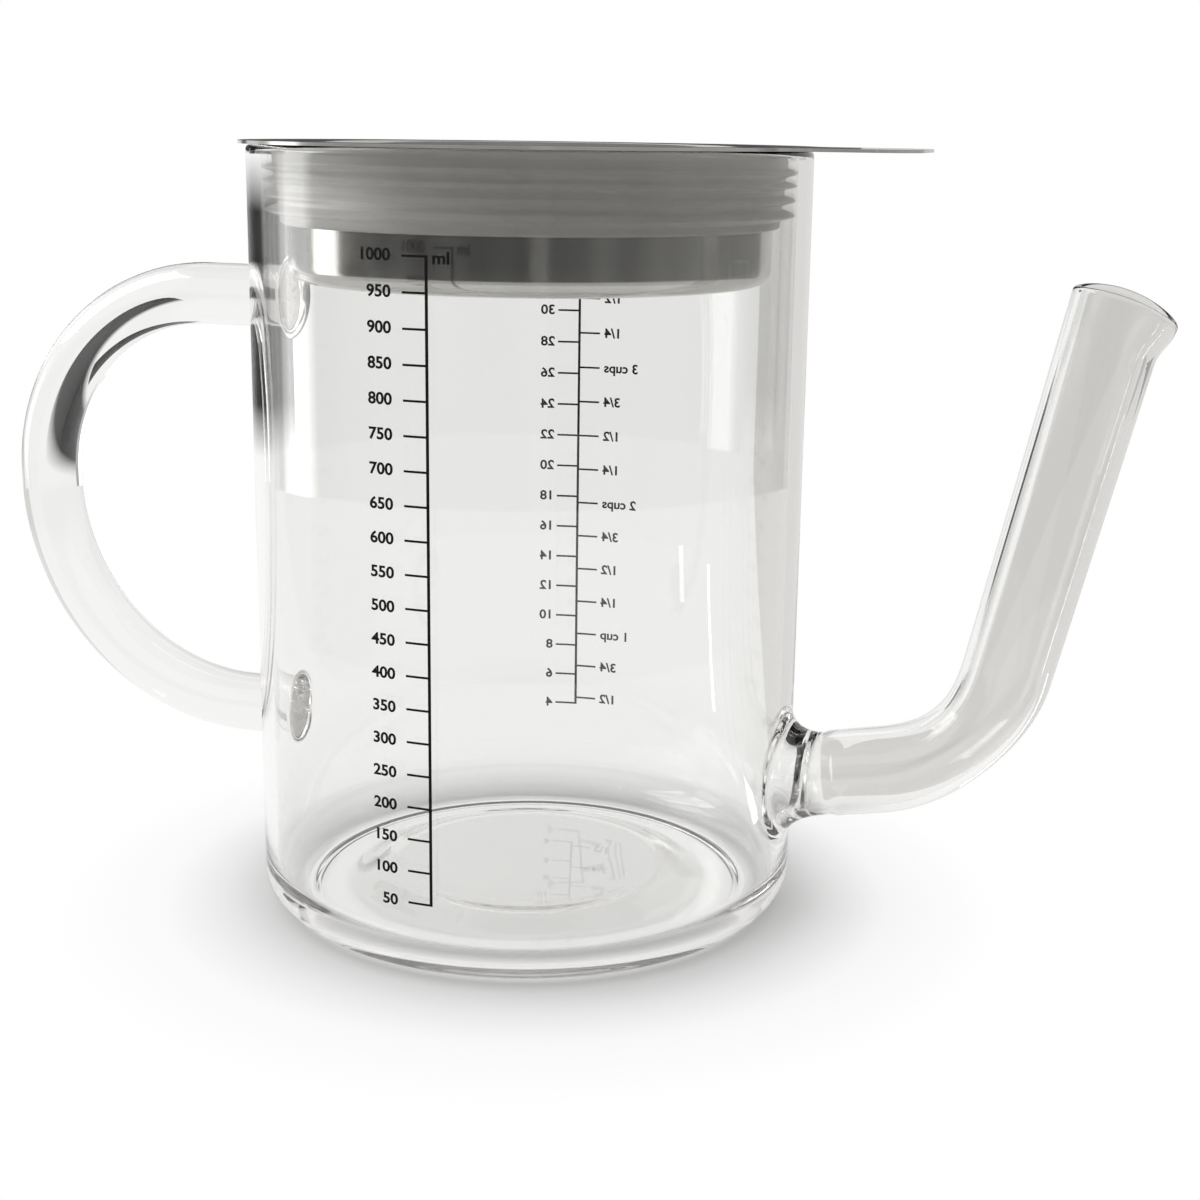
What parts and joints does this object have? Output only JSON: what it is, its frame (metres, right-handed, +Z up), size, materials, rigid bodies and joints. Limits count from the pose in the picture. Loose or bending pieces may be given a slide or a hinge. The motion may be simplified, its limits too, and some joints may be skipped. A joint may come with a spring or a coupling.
{
  "type": "gravy fat separator",
  "caption": "Straight glass jug with a low pouring spout, a bent rod handle, volume scales and a lift-out steel strainer sealed in its mouth.",
  "frame": {"origin": "on the jug's axis, in the plane of the foot that the jug stands on", "axes": "+Z up along the jug's axis, +X towards the spout, the handle at -X and the millilitre scale facing -Y"},
  "size_m": [0.2345, 0.11, 0.1499],
  "materials": {
    "clear_glass": "clear borosilicate glass, blown and flameworked, fire polished",
    "scale_enamel": "dark grey screen-printed enamel, fired on",
    "strainer_steel": "drawn stainless steel sheet, satin rim",
    "seal_silicone": "translucent white moulded silicone"
  },
  "bodies": {
    "jug": {"jug_body": "clear_glass", "handle": "clear_glass", "spout": "clear_glass", "millilitre_scale": "scale_enamel", "ounce_cup_scale": "scale_enamel"},
    "strainer": {"strainer": "strainer_steel"},
    "seal": {"silicone_seal": "seal_silicone"}
  },
  "joints": [
    {"name": "strainer_lift", "type": "slide", "parent": "jug", "child": "strainer", "axis": [0, 0, 1], "range_m": [0, 0.08]},
    {"name": "seal_pull_off", "type": "slide", "parent": "strainer", "child": "seal", "axis": [0, 0, -1], "range_m": [0, 0.03]}
  ]
}
